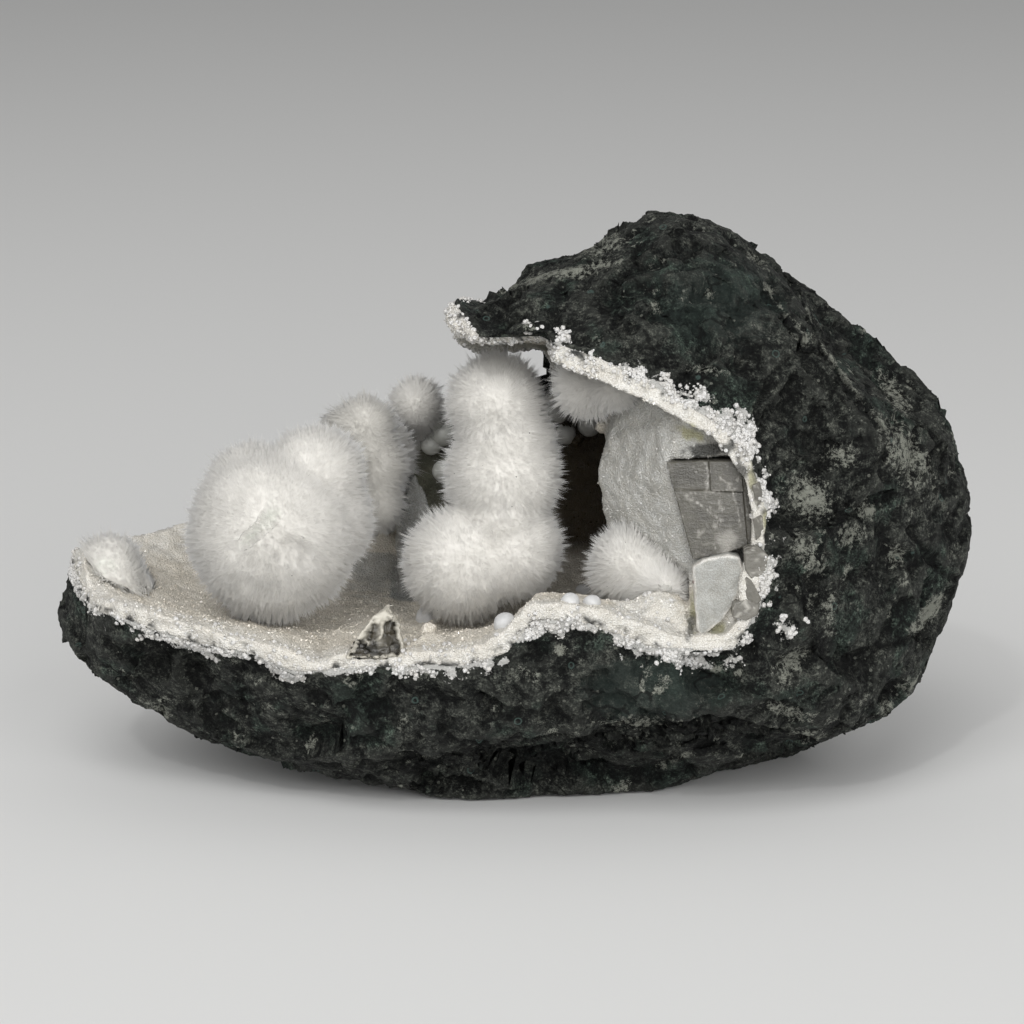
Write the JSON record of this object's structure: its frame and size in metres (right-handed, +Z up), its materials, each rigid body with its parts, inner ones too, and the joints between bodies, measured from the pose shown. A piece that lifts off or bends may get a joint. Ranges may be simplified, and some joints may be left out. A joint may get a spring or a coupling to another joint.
{
  "type": "okenite specimen",
  "caption": "Hand specimen of round fibrous okenite puffballs in the white quartz-lined hollow of a broken dark basalt nodule.",
  "frame": {"origin": "middle of the bounding box in plan, at the flat base that the specimen rests on", "axes": "+Z up; +X to the right along the longest side, towards the tall dome; the open side of the hollow faces -Y"},
  "size_m": [0.1848, 0.1, 0.1144],
  "materials": {
    "basalt": "rough broken dark green-grey stone with pale specks",
    "quartz": "white sugary druse, glittering",
    "okenite": "soft white needle fibres, matt",
    "calcite": "smoky brown cleaved crystal, half clear"
  },
  "bodies": {
    "root": {"basalt_matrix": "basalt", "quartz_crust": "quartz", "calcite_right": "calcite", "calcite_front": "calcite", "puffball_column": "okenite", "puffball_left_front": "okenite", "puffball_left_rear": "okenite", "puffball_back": "okenite", "puffball_right": "okenite", "puffball_ceiling": "okenite", "puffball_far_left": "okenite"}
  },
  "joints": []
}
